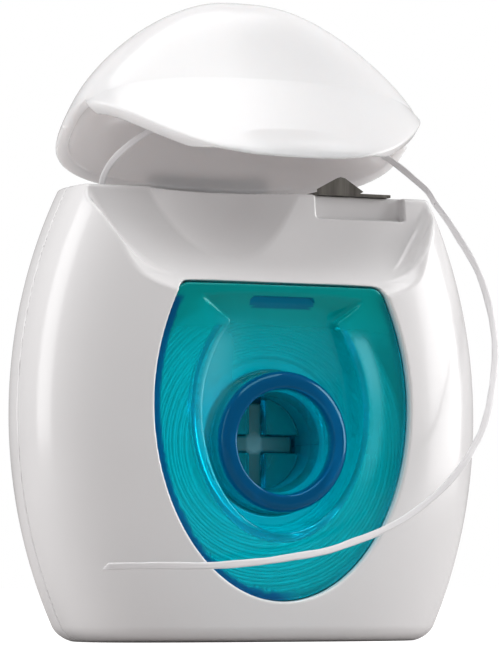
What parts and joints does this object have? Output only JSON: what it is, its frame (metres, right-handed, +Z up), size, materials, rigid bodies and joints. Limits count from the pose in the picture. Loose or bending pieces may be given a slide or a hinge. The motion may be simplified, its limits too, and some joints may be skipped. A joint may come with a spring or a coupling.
{
  "type": "dental floss dispenser",
  "caption": "Flip-top pocket dispenser for flat dental floss, with a clear shield window, a hub that the spool turns on, a steel cutter and a living hinge.",
  "frame": {"origin": "centre of the flat base that the dispenser stands on", "axes": "+Z up, +X to the right seen from the window side, +Y to the back where the lid's hinge is"},
  "size_m": [0.0507, 0.0277, 0.0667],
  "materials": {
    "case_white": "smooth white polypropylene",
    "lid_white": "smooth white polypropylene",
    "window_teal": "clear teal moulding",
    "cutter_steel": "stamped spring steel",
    "spool_white": "plain moulding",
    "floss_white": "waxed flat ribbon"
  },
  "bodies": {
    "case": {"front_shell": "case_white", "rear_shell": "case_white", "window_insert": "window_teal", "hinge_web": "case_white", "cutter_blade": "cutter_steel", "floss_lead": "floss_white", "floss_arch": "floss_white", "floss_tail": "floss_white"},
    "lid": {"lid": "lid_white"},
    "spool": {"spool_core": "spool_white", "floss_winding": "floss_white"}
  },
  "joints": [
    {"name": "lid_hinge", "type": "hinge", "parent": "case", "child": "lid", "pos_m": [0, 0.01, 0.0472], "axis": [1, 0, 0], "range_deg": [-75, 35], "deforming": ["floss_arch", "hinge_web"]},
    {"name": "spool_spin", "type": "hinge", "parent": "case", "child": "spool", "pos_m": [0, 0, 0.0203], "axis": [0, 1, 0], "continuous": true}
  ]
}
